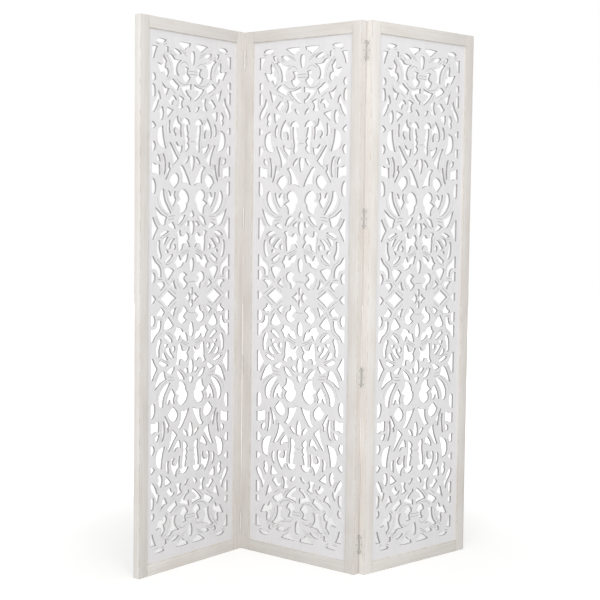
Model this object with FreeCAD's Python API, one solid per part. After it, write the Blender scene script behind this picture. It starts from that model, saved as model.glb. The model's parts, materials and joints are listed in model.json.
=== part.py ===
import FreeCAD, Part
import math
import os

# Three-leaf folding screen of carved, pierced wood, standing in a zigzag on its own frames.
# Millimetres, +Z up. The front faces look towards -Y, and the origin lies on the floor under the
# middle of the screen's outline. The middle panel stands still, and the other two fold on it.

# Driving dimensions
panel_height = 1800.0
panel_width = 500.0
frame_thickness = 25.0
frame_width = 38.0

# How far each panel is turned from the X axis when the screen stands as shown
left_turn_degrees = 51.3
centre_turn_degrees = -40.2
right_turn_degrees = 41.7

# Frame joints: the groove that holds the fret also takes the rails' tenons
groove_depth = 8.0
groove_stop = 10.0
seat_clearance = 0.3

# Fret board and the field of it that is pierced
fret_thickness = 10.0
fret_margin = 22.0

# Butt hinges
hinge_height = 64.0
leaf_width = 17.0
leaf_thickness = 1.5
barrel_radius = 4.0
pin_radius = 1.8
pin_clearance = 0.08
pin_proud = 0.5
panel_gap = 0.5
knuckle_gap = 0.3
barrel_clearance = 0.5
hinge_height_shares = (0.0545, 0.362, 0.649, 0.948)

# The barrels and pins are drawn with flats, few of them, because there are so many hinges
barrel_side_count = 8
pin_side_count = 6
knuckle_count = 3

# Cutting shapes run past what they cut by this much
overrun = 2.0

# The pattern was set out on a squared grid that is laid over the pierced field, and is the same
# in all four quarters. Its middle is this square, counted from the panel's upper left corner.
middle_column = 50
middle_row = 180
field_columns = 76
field_rows = 336

# The openings of the upper left quarter, as corners counted in squares
quarter_shares = [
    [(15.4, 14.6), (25.2, 12.7), (20.0, 15.7)],
    [(35.5, 13.6), (48.0, 13.2), (42.4, 18.4)],
    [(12.0, 18.0), (17.3, 18.2), (13.4, 26.4)],
    [(22.6, 22.2), (27.6, 34.0), (25.2, 37.3), (20.4, 34.6), (16.3, 28.6), (21.9, 28.8)],
    [(26.6, 22.6), (39.4, 24.8), (35.2, 30.5), (37.2, 35.5), (31.5, 35.6), (30.9, 28.4)],
    [(41.2, 29.2), (45.9, 29.5), (47.8, 34.9), (43.7, 39.2), (39.9, 34.6)],
    [(27.2, 40.0), (31.3, 37.5), (37.4, 41.4), (35.7, 45.1)],
    [(20.7, 39.7), (27.8, 43.9), (25.0, 49.2), (22.8, 47.6)],
    [(12.0, 42.2), (14.9, 42.7), (14.8, 49.0), (12.0, 49.9)],
    [(17.7, 45.5), (20.3, 51.4), (13.8, 60.3), (12.1, 57.6)],
    [(26.8, 52.1), (31.2, 48.0), (35.0, 51.4), (30.6, 54.5)],
    [(36.8, 47.9), (42.1, 49.7), (40.4, 55.6), (36.2, 55.9)],
    [(38.8, 42.0), (48.9, 39.2), (44.3, 44.0), (48.6, 50.4)],
    [(21.5, 55.4), (23.2, 61.0), (20.0, 65.0), (18.8, 59.6)],
    [(25.4, 56.0), (31.8, 57.6), (26.0, 62.9)],
    [(28.9, 63.7), (29.0, 72.4), (26.2, 68.8)],
    [(12.0, 65.7), (16.2, 68.5), (12.0, 70.5)],
    [(17.6, 70.5), (22.6, 67.9), (25.6, 82.8), (18.2, 80.0)],
    [(36.3, 60.2), (39.7, 67.0), (38.6, 74.4), (35.0, 68.4), (33.2, 74.2), (31.4, 67.5)],
    [(40.6, 64.6), (43.2, 61.8), (47.6, 66.0), (45.6, 68.0), (47.2, 80.2), (43.3, 84.3)],
    [(34.2, 77.5), (37.4, 80.4), (40.6, 79.6), (38.9, 85.1)],
    [(28.2, 78.4), (37.1, 88.6), (31.8, 93.2), (30.8, 86.2)],
    [(12.0, 78.3), (15.9, 81.3), (12.0, 84.5)],
    [(12.0, 92.2), (19.6, 92.9), (19.9, 99.9), (12.0, 99.0)],
    [(21.6, 85.6), (25.1, 92.6), (24.2, 99.8)],
    [(27.2, 91.3), (29.7, 95.6), (25.1, 103.3)],
    [(37.3, 93.7), (40.0, 92.7), (48.7, 106.3), (40.3, 104.4)],
    [(28.1, 103.5), (31.5, 98.7), (37.3, 100.0), (33.0, 108.3)],
    [(12.0, 102.3), (15.6, 103.8), (15.8, 111.5), (12.0, 111.9)],
    [(20.0, 109.5), (23.7, 109.0), (30.5, 124.5), (20.8, 119.2)],
    [(26.6, 109.9), (34.4, 110.0), (34.6, 115.4), (31.8, 120.4)],
    [(41.7, 108.4), (46.8, 112.0), (43.8, 122.7), (38.4, 124.3), (36.1, 115.6)],
    [(15.2, 120.2), (26.5, 126.9), (25.0, 131.8), (21.0, 131.6)],
    [(12.0, 126.8), (18.3, 134.3), (12.0, 141.8)],
    [(26.8, 131.7), (31.9, 129.8), (34.4, 134.5)],
    [(43.8, 125.4), (38.6, 126.7), (35.7, 132.3), (41.0, 129.9)],
    [(17.8, 141.7), (20.0, 142.4), (21.6, 153.8), (18.3, 153.0)],
    [(25.4, 146.6), (31.0, 140.8), (33.6, 141.0), (29.8, 147.3)],
    [(24.3, 155.0), (31.8, 150.8), (27.6, 156.4)],
    [(35.2, 136.5), (39.3, 135.5), (45.0, 137.0), (48.7, 146.6), (43.6, 144.2), (38.8, 149.4)],
    [(33.2, 156.7), (37.2, 151.6), (39.8, 155.2), (46.8, 150.8), (38.6, 160.6)],
    [(12.0, 151.9), (20.9, 160.2), (21.5, 165.9), (18.0, 165.9), (12.0, 160.3)],
    [(12.0, 162.6), (16.1, 166.0), (12.0, 169.5)],
    [(24.0, 160.0), (33.3, 161.8), (27.4, 168.4)],
    [(16.9, 170.0), (23.8, 169.4), (20.3, 174.9)],
    [(41.0, 163.0), (45.7, 165.2), (46.5, 170.7), (41.5, 174.8), (37.4, 167.5)],
]

# The left half of each opening that lies on the upright centre line, from its top to its foot
upright_shares = [
    [(50, 18.0), (47.9, 22.0), (50, 27.1)],
    [(50, 86.0), (47.8, 90.0), (50, 96.3)],
    [(50, 129.0), (47.5, 133.0), (50, 138.5)],
    [(50, 153.6), (47.6, 157.6), (50, 163.4)],
    [(50, 173.3), (48.4, 175.8), (50, 178.6)],
]

# The upper half of each opening that lies on the level centre line, from left to right
level_shares = [
    [(12.0, 180), (12.0, 177.0), (16.8, 180)],
    [(20.3, 180), (27.6, 174.6), (35.2, 180)],
    [(42.8, 180), (46.8, 176.6), (49.1, 180)],
]

# Sizes worked out from those above
half_width = panel_width / 2
half_thickness = frame_thickness / 2
opening_width = panel_width - 2 * frame_width
opening_height = panel_height - 2 * frame_width
square_width = (opening_width - 2 * fret_margin) / field_columns
square_height = (opening_height - 2 * fret_margin) / field_rows
tongue = groove_depth - seat_clearance
pin_across = half_width + panel_gap / 2
pin_out = half_thickness + pin_proud
housing_radius = barrel_radius + barrel_clearance
knuckle_height = (hinge_height - (knuckle_count - 1) * knuckle_gap) / knuckle_count

# The flats of a bore that turns on the pin clear the pin's corners
running_bore_radius = (pin_radius + pin_clearance) / math.cos(math.pi / pin_side_count)


def block(x_low, x_high, y_low, y_high, z_low, z_high):
    size = (x_high - x_low, y_high - y_low, z_high - z_low)
    return Part.makeBox(*size, FreeCAD.Vector(x_low, y_low, z_low))


def prism(points, height):
    """A straight prism on a closed outline of vectors."""
    return Part.Face(Part.makePolygon(points + points[:1])).extrude(FreeCAD.Vector(0, 0, height))


def flat_sided_rod(x, y, z, radius, height, flats):
    """An upright rod whose corners lie on the radius."""
    turns = [2 * math.pi * (i + 0.5) / flats for i in range(flats)]
    corners = [FreeCAD.Vector(x + radius * math.cos(a), y + radius * math.sin(a), z) for a in turns]
    return prism(corners, height)


# Frames

def hinge_feet():
    """Height of each hinge's lower end above the floor."""
    return [panel_height * share - hinge_height / 2 for share in hinge_height_shares]


def hinge_recess(side, face, foot):
    """The seat of one leaf in a stile's edge, with the rebate that its barrel turns in.

    side is -1 or 1 for the panel's left or right edge, and face is -1 or 1 for the front or back.
    """
    edge = side * half_width
    bed = edge - side * leaf_thickness
    rebate = edge - side * housing_radius
    outside = side * (half_width + overrun)
    lip = face * (half_thickness + overrun)
    top = foot + hinge_height
    seat_end = face * (half_thickness - leaf_width)
    rebate_end = face * (half_thickness - housing_radius)
    seat = block(*sorted((bed, outside)), *sorted((seat_end, lip)), foot, top)
    return seat.fuse(block(*sorted((rebate, outside)), *sorted((rebate_end, lip)), foot, top))


def stile(side, hinge_face):
    """An upright of the frame, grooved along its inner edge, with hinge seats in its outer one."""
    inner = side * (half_width - frame_width)
    outer = side * half_width
    groove_floor = inner + side * groove_depth
    half_groove = fret_thickness / 2
    body = block(*sorted((inner, outer)), -half_thickness, half_thickness, 0, panel_height)
    groove = block(*sorted((inner - side * overrun, groove_floor)), -half_groove, half_groove,
                   groove_stop, panel_height - groove_stop)
    body = body.cut(groove)
    if hinge_face:
        for foot in hinge_feet():
            body = body.cut(hinge_recess(side, hinge_face, foot))
    return body


def rail(end):
    """A cross piece between the stiles with a tenon at each end and a groove for the fret.

    end is -1 for the bottom rail and 1 for the top one.
    """
    half_opening = opening_width / 2
    half_tongue = fret_thickness / 2
    outer = 0 if end < 0 else panel_height
    inner = outer - end * frame_width
    shoulder = outer - end * (groove_stop + seat_clearance)
    body = block(-half_opening, half_opening, -half_thickness, half_thickness, *sorted((inner, outer)))
    tenons = block(-half_opening - tongue, half_opening + tongue, -half_tongue, half_tongue,
                   *sorted((inner, shoulder)))
    groove = block(-half_opening - tongue, half_opening + tongue, -half_tongue, half_tongue,
                   *sorted((inner - end * overrun, inner + end * groove_depth)))
    return body.fuse(tenons).cut(groove)


# Fret board

def across(column):
    return (column - middle_column) * square_width


def upward(row):
    return panel_height / 2 + (middle_row - row) * square_height


def mirrored_columns(outline):
    return [(2 * middle_column - column, row) for column, row in outline]


def mirrored_rows(outline):
    return [(column, 2 * middle_row - row) for column, row in outline]


def all_openings():
    """Every opening of a fret, from the quarter and the halves that its symmetry repeats."""
    upright = [half + mirrored_columns(half[-2:0:-1]) for half in upright_shares]
    level = [half + mirrored_rows(half[-2:0:-1]) for half in level_shares]
    upper = quarter_shares + [mirrored_columns(outline) for outline in quarter_shares] + upright
    whole_height = level + [mirrored_columns(outline) for outline in level]
    return upper + [mirrored_rows(outline) for outline in upper] + whole_height


def fret_board():
    """The pierced board, standing in the grooves of the stiles and rails."""
    half_board = opening_width / 2 + tongue
    low = frame_width - tongue
    high = panel_height - frame_width + tongue
    front = -fret_thickness / 2
    corners = [(-half_board, low), (half_board, low), (half_board, high), (-half_board, high)]
    outlines = [corners] + [[(across(c), upward(r)) for c, r in outline] for outline in all_openings()]
    wires = [[FreeCAD.Vector(x, front, z) for x, z in outline] for outline in outlines]
    board = Part.Face([Part.makePolygon(wire + wire[:1]) for wire in wires])
    board.validate()
    return board.extrude(FreeCAD.Vector(0, fret_thickness, 0))


# Hinges, drawn at the right-hand edge and on the front face, and mirrored to where they belong

def mirrored_to(shape, side, face):
    origin = FreeCAD.Vector(0, 0, 0)
    if side < 0:
        shape = shape.mirror(origin, FreeCAD.Vector(1, 0, 0))
    if face > 0:
        shape = shape.mirror(origin, FreeCAD.Vector(0, 1, 0))
    return shape


def hinge_leaf(foot, own, bore_radius):
    """A leaf let into a stile's edge, with the knuckles numbered in own, counted from below."""
    pitch = knuckle_height + knuckle_gap
    inner = half_width - leaf_thickness
    clear_of_barrel = housing_radius - pin_out
    leaf = block(inner, half_width, clear_of_barrel, leaf_width - half_thickness, foot, foot + hinge_height)
    for number in own:
        z = foot + number * pitch
        web = block(inner, half_width, -pin_out, clear_of_barrel, z, z + knuckle_height)
        rod = flat_sided_rod(pin_across, -pin_out, z, barrel_radius, knuckle_height, barrel_side_count)
        leaf = leaf.fuse(web.fuse(rod))
    bore = flat_sided_rod(pin_across, -pin_out, foot - overrun, bore_radius,
                          hinge_height + 2 * overrun, pin_side_count)
    return leaf.cut(bore).removeSplitter()


def hinge_pin(foot):
    return flat_sided_rod(pin_across, -pin_out, foot, pin_radius, hinge_height, pin_side_count)


# Placing

def panel_place(turn_degrees, pin_local, pin_world):
    """Turns a panel about its pin and sets that pin where it belongs."""
    spin = FreeCAD.Rotation(FreeCAD.Vector(0, 0, 1), turn_degrees)
    return FreeCAD.Placement(pin_world - spin.multVec(pin_local), spin)


# The middle panel's pins, and where the panels beside it have the same pins
left_pin = FreeCAD.Vector(-pin_across, -pin_out, 0)
right_pin = FreeCAD.Vector(pin_across, pin_out, 0)
left_panel_pin = FreeCAD.Vector(pin_across, -pin_out, 0)
right_panel_pin = FreeCAD.Vector(-pin_across, pin_out, 0)
origin = FreeCAD.Vector(0, 0, 0)
still = panel_place(centre_turn_degrees, origin, origin)
places = {
    "centre": still,
    "left": panel_place(left_turn_degrees, left_panel_pin, still.multVec(left_pin)),
    "right": panel_place(right_turn_degrees, right_panel_pin, still.multVec(right_pin)),
}

# The frames' corners bound the screen, and their middle is the origin
corners = [place.multVec(FreeCAD.Vector(x, y, 0)) for place in places.values()
           for x in (-half_width, half_width) for y in (-half_thickness, half_thickness)]
middle = FreeCAD.Vector((min(c.x for c in corners) + max(c.x for c in corners)) / 2,
                        (min(c.y for c in corners) + max(c.y for c in corners)) / 2, 0)
for place in places.values():
    place.Base = place.Base - middle


def export(name, shape, place):
    shape.Placement = place.multiply(shape.Placement)
    shape.exportStep("parts/" + name + ".step")


os.makedirs("parts", exist_ok=True)

# Which face each panel's left and right edges have hinge barrels on: -1 front, 1 back, 0 none
hinged_faces = {"left": (0, -1), "centre": (-1, 1), "right": (1, 0)}
for panel, (left_face, right_face) in hinged_faces.items():
    place = places[panel]
    export(panel + "_panel_left_stile", stile(-1, left_face), place)
    export(panel + "_panel_right_stile", stile(1, right_face), place)
    export(panel + "_panel_bottom_rail", rail(-1), place)
    export(panel + "_panel_top_rail", rail(1), place)
    export(panel + "_panel_fret", fret_board(), place)

# The middle panel's leaves carry the outer knuckles and hold the pin, and the leaf of the panel
# that folds turns on that pin with its inner knuckle
for joint, panel, side, face in (("left", "left", -1, -1), ("right", "right", 1, 1)):
    for number, foot in enumerate(hinge_feet(), 1):
        name = joint + "_hinge_" + str(number)
        fixed = mirrored_to(hinge_leaf(foot, (0, knuckle_count - 1), pin_radius), side, face)
        inner_knuckles = range(1, knuckle_count - 1)
        moving = mirrored_to(hinge_leaf(foot, inner_knuckles, running_bore_radius), -side, face)
        pin = mirrored_to(hinge_pin(foot), side, face)
        export(name + "_fixed_leaf", fixed, places["centre"])
        export(name + "_moving_leaf", moving, places[panel])
        export(name + "_pin", pin, places["centre"])

axes = {"left_fold": places["centre"].multVec(left_pin), "right_fold": places["centre"].multVec(right_pin)}
for name, axis in axes.items():
    print(name, "axis at", round(axis.x, 3), round(axis.y, 3), "mm")
for name, place in places.items():
    print(name, "panel centre at", round(place.Base.x, 3), round(place.Base.y, 3), "mm")
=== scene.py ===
"""Looks for a three-panel folding jali screen in whitewashed wood."""
import json
import math
from contextlib import contextmanager

import bmesh
import bpy
import numpy as np
from mathutils import Matrix, Vector
from mathutils.bvhtree import BVHTree
from mathutils.geometry import delaunay_2d_cdt


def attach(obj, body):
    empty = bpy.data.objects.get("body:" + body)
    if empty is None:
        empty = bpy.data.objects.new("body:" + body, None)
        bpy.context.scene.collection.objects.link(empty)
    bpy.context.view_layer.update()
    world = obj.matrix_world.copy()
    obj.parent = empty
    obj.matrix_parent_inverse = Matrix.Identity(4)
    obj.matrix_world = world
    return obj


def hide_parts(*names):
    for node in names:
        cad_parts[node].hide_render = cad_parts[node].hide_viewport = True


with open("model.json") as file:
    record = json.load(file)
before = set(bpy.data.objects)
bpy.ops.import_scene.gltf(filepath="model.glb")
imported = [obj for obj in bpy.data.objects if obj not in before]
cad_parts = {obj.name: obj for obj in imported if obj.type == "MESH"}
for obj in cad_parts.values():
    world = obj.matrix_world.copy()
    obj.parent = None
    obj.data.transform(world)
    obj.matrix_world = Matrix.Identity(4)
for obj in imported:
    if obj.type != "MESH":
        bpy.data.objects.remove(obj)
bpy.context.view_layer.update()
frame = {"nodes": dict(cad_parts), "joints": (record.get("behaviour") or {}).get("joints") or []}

# Sizes of the screen in millimetres, as in the part's source
PANEL_HEIGHT = 1800.0
PANEL_WIDTH = 500.0
FRAME_THICKNESS = 25.0
FRAME_WIDTH = 38.0
FRET_THICKNESS = 10.0
FRET_MARGIN = 22.0
TONGUE = 7.7
HINGE_HEIGHT = 64.0
LEAF_WIDTH = 17.0
LEAF_THICKNESS = 1.5
BARREL_RADIUS = 4.0
BARREL_CLEARANCE = 0.5
PIN_RADIUS = 1.8
PIN_PROUD = 0.5
PANEL_GAP = 0.5
KNUCKLES = 3
KNUCKLE_GAP = 0.3
HINGE_HEIGHT_SHARES = (0.0545, 0.362, 0.649, 0.948)
TURNS = {"left": 51.3, "centre": -40.2, "right": 41.7}

MM = 0.001
HALF_WIDTH = PANEL_WIDTH / 2
HALF_THICKNESS = FRAME_THICKNESS / 2
HALF_HEIGHT = PANEL_HEIGHT / 2
PIN_ACROSS = HALF_WIDTH + PANEL_GAP / 2
PIN_OUT = HALF_THICKNESS + PIN_PROUD
OPENING_WIDTH = PANEL_WIDTH - 2 * FRAME_WIDTH
OPENING_HEIGHT = PANEL_HEIGHT - 2 * FRAME_WIDTH


# Where the panels stand

def joint_place(name):
    for joint in frame["joints"]:
        if joint["name"] == name:
            return Vector(joint["pos_m"]) / MM
    raise ValueError(name)


def panel_matrix(panel, pin_local, pin_world):
    """Takes a panel's own millimetres to the frame's metres, by the pin that the panel turns on."""
    spin = Matrix.Rotation(math.radians(TURNS[panel]), 4, "Z")
    where = Vector((pin_world.x, pin_world.y, 0)) - spin @ Vector(pin_local)
    return Matrix.Scale(MM, 4) @ Matrix.Translation(where) @ spin


left_pin = joint_place("left_fold")
right_pin = joint_place("right_fold")
PLACES = {
    "left": panel_matrix("left", (PIN_ACROSS, -PIN_OUT, 0), left_pin),
    "centre": panel_matrix("centre", (-PIN_ACROSS, -PIN_OUT, 0), left_pin),
    "right": panel_matrix("right", (-PIN_ACROSS, PIN_OUT, 0), right_pin),
}

# The fret's openings, on a squared grid as in the part's source: squares across the panel and down
# it, with 1 after a point that is a sharp corner
SIDE_SHARES = [
    [(15.4, 14.6, 1), (17.5, 13.1), (21.2, 12.8), (25.2, 13.4, 1), (23.3, 15), (19.5, 15.5), (17, 15.3)],
    [(35.5, 13.6, 1), (41.5, 13), (48, 13.2, 1), (47.2, 15.3, 1), (44.7, 16.3), (42.4, 18.4, 1),
     (40.2, 16.9), (37.7, 15.3)],
    [(31.3, 18.3, 1), (34.2, 17.9), (37.3, 19.1), (39.3, 20.7, 1), (37, 21.4), (34.3, 20.9), (32.3, 19.8)],
    [(12, 18, 1), (17.3, 18.2, 1), (15.5, 21.8), (14.2, 26.2, 1), (12, 26.2, 1)],
    [(23.9, 18, 1), (25.5, 17.4), (27.2, 17.7, 1), (27, 19.6), (27.3, 21, 1), (25.5, 20.9, 1), (24.6, 19.9)],
    [(22.6, 22.2, 1), (24, 24.6), (25.7, 26.6), (25.2, 28.6), (24.7, 30.9, 1), (26.7, 31.6), (27.6, 34),
     (26.6, 36.3), (25.2, 37.3, 1), (23.9, 35.7), (23.3, 33.7, 1), (21.9, 34.1), (20.2, 34.8, 1),
     (18.6, 32.6), (17.4, 30.4), (16.3, 28.6, 1), (18.6, 28.6), (21, 29.3), (22.3, 28.3, 1), (21.7, 26.3),
     (21.8, 24.2)],
    [(26.6, 22.6, 1), (29.3, 22), (31.5, 22.5, 1), (33.2, 24.4), (35.8, 24.9), (39.4, 24.8, 1), (37, 26.7),
     (35.6, 29.2), (35.4, 32.2), (37.2, 35.5, 1), (34.3, 34.8), (31.5, 35.6, 1), (31.7, 32.5),
     (31.3, 29.4), (30.1, 26.3), (28.3, 24.1)],
    [(41.2, 29.2, 1), (43.7, 28.9), (46.3, 29.5, 1), (45.4, 31.2), (45.4, 32.8), (46.3, 34),
     (47.8, 34.9, 1), (47.3, 36.7), (45.8, 38.3), (43.7, 39.2), (41.7, 38.1), (40.4, 36.3),
     (39.9, 34.6, 1), (41.8, 34.1), (42.8, 32.7), (42.4, 30.9)],
    [(12, 35.5, 1), (14.6, 35.3), (15.8, 37.6), (14.8, 39.9), (12, 39.7, 1)],
    [(27.2, 40, 1), (29.3, 38.3), (31.4, 37.5), (34.5, 39.6), (37.4, 41.4, 1), (36.6, 43.2),
     (35.7, 45.1, 1), (31.8, 43.1), (28.6, 41.4)],
    [(20.7, 39.7, 1), (23.2, 42.2), (25.6, 43.8), (27.8, 43.9, 1), (26.6, 46.6), (25.3, 48.8, 1),
     (23.4, 48.3, 1), (22.4, 45.5), (21.6, 42.4)],
    [(12, 42.2, 1), (14.5, 42.4), (15.5, 45.5), (15.3, 49.3), (14.2, 50.3), (12, 49.9, 1)],
    [(17.7, 45.5, 1), (19.6, 47.9), (20.3, 51.4, 1), (18.7, 51.9, 1), (17.7, 54.7), (16, 57.8),
     (13.8, 60.3, 1), (12.2, 59.4), (12.2, 56.9), (13.8, 53.8), (16, 51), (17.1, 48.4)],
    [(26.8, 52.1, 1), (28.6, 50.4), (30.2, 48.6), (32.4, 48.2), (34.3, 49.6), (35, 51.4, 1), (32.9, 50.9),
     (31.7, 52.2), (31.1, 54.2, 1), (29.4, 54.4), (27.8, 53.5)],
    [(36.4, 47.9, 1), (39.2, 48.2), (42.1, 49.7, 1), (40.6, 51.2), (40.2, 53.3), (41.1, 55.2, 1),
     (38.7, 56.2), (35.6, 55.9, 1), (37, 53.6), (37.3, 50.8)],
    [(38.8, 42, 1), (42, 41.6), (45.6, 40.7), (48.9, 39.2, 1), (48.6, 43.2, 1), (46.2, 43.2),
     (44.1, 44, 1), (45.2, 45.7), (46.8, 47.4), (48.8, 48.3, 1), (48.4, 50.9, 1), (45.5, 49.1),
     (42.2, 46.4), (39.8, 43.8)],
    [(43.2, 54.1, 1), (45.2, 53.9), (47.1, 55.6), (48.2, 57.9, 1), (46, 57.6), (44.3, 56.3)],
    [(21.5, 55.4, 1), (22.9, 58), (23.1, 61.2), (22, 64.1), (20, 65, 1), (18.9, 63), (19.6, 61.2, 1),
     (18.7, 59.3), (19.8, 57)],
    [(25.4, 56, 1), (28.4, 56.5), (31.8, 57.6, 1), (29.3, 60.2), (26.3, 62.9, 1), (25.4, 59.5)],
    [(28.9, 63.7, 1), (29, 66.5), (28.7, 69.5), (29.3, 72.4, 1), (27.3, 72.7, 1), (26.1, 70.9),
     (26.2, 67.3), (27.3, 64.9)],
    [(12, 65.7, 1), (14, 66.3), (16.2, 68.5, 1), (14.2, 70.2), (12, 70.5, 1)],
    [(18.2, 69.8, 1), (20.4, 68.9), (22.6, 67.9, 1), (22.8, 72), (23.7, 77), (25.6, 82.8, 1), (22, 82.1),
     (19, 80.6), (17.1, 77.2), (17, 73)],
    [(36.3, 60.2, 1), (36.4, 62.8), (37.5, 65.2), (39.6, 66.4, 1), (39.4, 70.4), (39.9, 74.4, 1),
     (37.3, 74.4, 1), (37.3, 71.1), (36.2, 68.9), (34.6, 68.4), (33.3, 69.6), (33.4, 71.6),
     (34.9, 73.2, 1), (33.2, 74.2), (31.5, 73.2), (30.9, 70.4), (31.7, 66.4), (33.8, 62.8)],
    [(39.6, 65.3, 1), (40.8, 63.1), (43, 61.9), (45.3, 62.3), (47.1, 63.9), (47.9, 66, 1), (45.2, 66.2, 1),
     (45.8, 69.8), (46.5, 72.2), (45.5, 73.5, 1), (47, 75.6), (45.9, 78.2, 1), (47.2, 80.2), (45.8, 82.6),
     (43.3, 84.3, 1), (42.6, 81.6), (43, 78.3), (42.4, 74), (41.8, 70), (42, 65.7, 1)],
    [(34.2, 77.5, 1), (35.5, 78.4), (36.6, 79.9), (38.4, 80.4), (40.6, 79.6, 1), (40.4, 82.4),
     (39.4, 85, 1), (37.7, 84.9), (35.3, 82.4), (33.6, 79.5)],
    [(27.3, 78.7, 1), (29.4, 78.4, 1), (31.7, 81.6), (34.2, 85.1), (37.1, 88.6, 1), (34.7, 91.1),
     (31.8, 93.2, 1), (31.6, 89.3), (30.6, 85.6), (29.1, 82.1)],
    [(12, 78.6, 1), (14.3, 78.2, 1), (15.9, 81.2), (14.5, 84.5, 1), (12, 84.3, 1)],
    [(16.4, 87, 1), (18.3, 86.8), (19.7, 88.8), (20.2, 91.3, 1), (18, 91), (16.3, 89.4)],
    [(12, 92.3, 1), (14.4, 92.2), (16.6, 93.2), (19.6, 92.9, 1), (19.9, 96), (19.9, 99.9, 1), (17.3, 99.7),
     (15.2, 98.7), (12, 99.2, 1)],
    [(21.6, 85.6, 1), (23.6, 86.9), (25, 91), (25.1, 95.5), (24.2, 99.8, 1), (22.6, 99, 1), (23, 94.6),
     (22.6, 90.2)],
    [(27.2, 91.3, 1), (28.9, 91.9), (28.6, 94.2), (29.7, 95.6, 1), (28, 98.7), (25.1, 103.3, 1),
     (24.3, 102.2), (25.5, 99.1), (26.4, 95.5)],
    [(42.1, 90.9, 1), (43.6, 88.7), (45.8, 86.9), (47.3, 87, 1), (46.5, 89.3), (44.9, 91.2), (43.2, 91.8)],
    [(37.3, 93.7, 1), (39.9, 92.7, 1), (41.8, 94), (44.3, 97.6), (46.7, 101.6), (48.7, 106.3, 1),
     (45.4, 104.6), (42.6, 103.9), (40.3, 104.4, 1), (40.4, 100.7), (39.6, 97)],
    [(28.1, 103.5, 1), (29.4, 100.9), (31.7, 98.9), (34.5, 98.1), (36.8, 99.5), (37.7, 102.3),
     (36.3, 105.3), (32.6, 108.3, 1), (30.4, 106)],
    [(12, 102.3, 1), (14.4, 102.5), (16.1, 105.8), (16.2, 109.4), (15.2, 111.9), (12.9, 112), (12, 110, 1)],
    [(20.3, 109.6), (21.8, 108.6), (23.7, 109, 1), (23.9, 112.5), (25.2, 116.4), (27.6, 120.2),
     (30.5, 124.5, 1), (27.3, 124.1), (23.4, 121.7), (20.4, 117.8), (19.2, 113.5)],
    [(26.6, 109.9, 1), (28.8, 110.2), (30.1, 113.3, 1), (31.6, 110.4), (34.4, 110, 1), (33.7, 112.7),
     (35, 115.3, 1), (33.8, 117.8), (31.8, 120.4, 1), (29.5, 117.8), (27.6, 114.1)],
    [(41.7, 108.4), (44.8, 110), (46.9, 113), (47.2, 115.8), (45.6, 118, 1), (45.2, 120.6), (43.4, 123),
     (41, 124.1), (38.4, 124.3, 1), (38.3, 121.5), (37.2, 119.2), (35, 117.6, 1), (36.9, 116.2),
     (38.9, 115.3, 1), (37.4, 113.3), (37.3, 111.2), (38.9, 109.2)],
    [(15.2, 120.2, 1), (18.2, 122.4), (21.6, 125), (26.5, 126.9, 1), (25.4, 129.2), (25, 131.6, 1),
     (23, 132.6), (20.2, 130.9), (18, 127.6), (16.3, 123.8)],
    [(12, 127.2, 1), (13.9, 127, 1), (15.9, 130.9), (18.3, 134.3, 1), (16, 137.6), (14, 141.6, 1),
     (12, 141.5, 1)],
    [(19.2, 138.3, 1), (22, 136.5), (25.5, 135.6), (28.2, 136.3, 1), (25.2, 137.9), (21.6, 139.3)],
    [(26.8, 131.7, 1), (29.5, 130.5), (31.9, 129.8, 1), (33.1, 131.8), (34, 132.9), (34.4, 134.5, 1),
     (31.3, 134.2), (28.6, 132.9)],
    [(43.8, 125.4, 1), (40.2, 125.9), (37.6, 127.8), (36.6, 130.2), (35.7, 132.3, 1), (38.6, 131.3),
     (41.6, 128.8)],
    [(42.5, 131.9, 1), (44.5, 130), (46.8, 128.9, 1), (47.1, 130.9), (46.5, 132.9, 1), (44.3, 132.8)],
    [(18.2, 141.7, 1), (20, 142.5), (19.9, 146), (20.7, 149.5), (21.8, 152), (21.1, 153.9, 1),
     (18.9, 153.5), (17.4, 150.4), (16.9, 146.5), (17.2, 143.4)],
    [(22, 144.3, 1), (22.1, 142.2), (24, 140.2), (27.9, 139.5, 1), (26.1, 142), (24.6, 145, 1)],
    [(25.4, 146.6, 1), (27.6, 143.8), (30.8, 140.9), (33.8, 140.9, 1), (31.7, 143), (30.4, 144.8),
     (29.8, 147.2, 1), (27.7, 147.6)],
    [(24, 150.4, 1), (24.9, 148.2), (26.9, 148.4), (28, 150.4, 1), (26, 150.2)],
    [(31.6, 145.3), (33.1, 144.4), (34.7, 145.4), (34.6, 147.4), (33.2, 148.4), (31.6, 147.6)],
    [(24.2, 155, 1), (26.5, 153.5), (29.3, 151.5), (31.8, 150.8, 1), (31.7, 152.3), (29.7, 154.6),
     (26.9, 156.5), (24.8, 156.4, 1)],
    [(35.2, 136.5, 1), (37.3, 135.5), (39.3, 135.5, 1), (39.3, 137.9), (40.6, 139.4), (42.3, 138.9),
     (43.3, 137.3), (45.6, 137.2), (47.4, 139), (47.4, 141.2), (46.4, 142.7), (47.5, 144.4),
     (48.7, 146.6, 1), (46.5, 146.8), (45.4, 145), (43.6, 144.1), (41.9, 145.1), (41.2, 147.4),
     (40, 148.9), (37.3, 149.2, 1), (36.9, 145.5), (36.6, 142), (36.7, 139.3)],
    [(33.2, 156.7, 1), (34.8, 154.9), (36.1, 152.4), (37.9, 151.7), (39, 153.2), (39.8, 155.2, 1),
     (41.2, 153.2), (43.7, 151.7), (46.8, 150.8, 1), (46.4, 153.5), (45, 156.4), (42.6, 156.9),
     (41.2, 159), (38.8, 160), (35.5, 160.9, 1), (34.9, 158.4)],
    [(12, 151.9, 1), (14.2, 152.1, 1), (16.4, 155.7), (19.9, 158.6), (21.3, 161.6), (21.5, 165.9, 1),
     (18, 165.9, 1), (17.7, 162.9), (16.2, 160.9), (14, 160.2), (12, 160.4, 1)],
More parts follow.
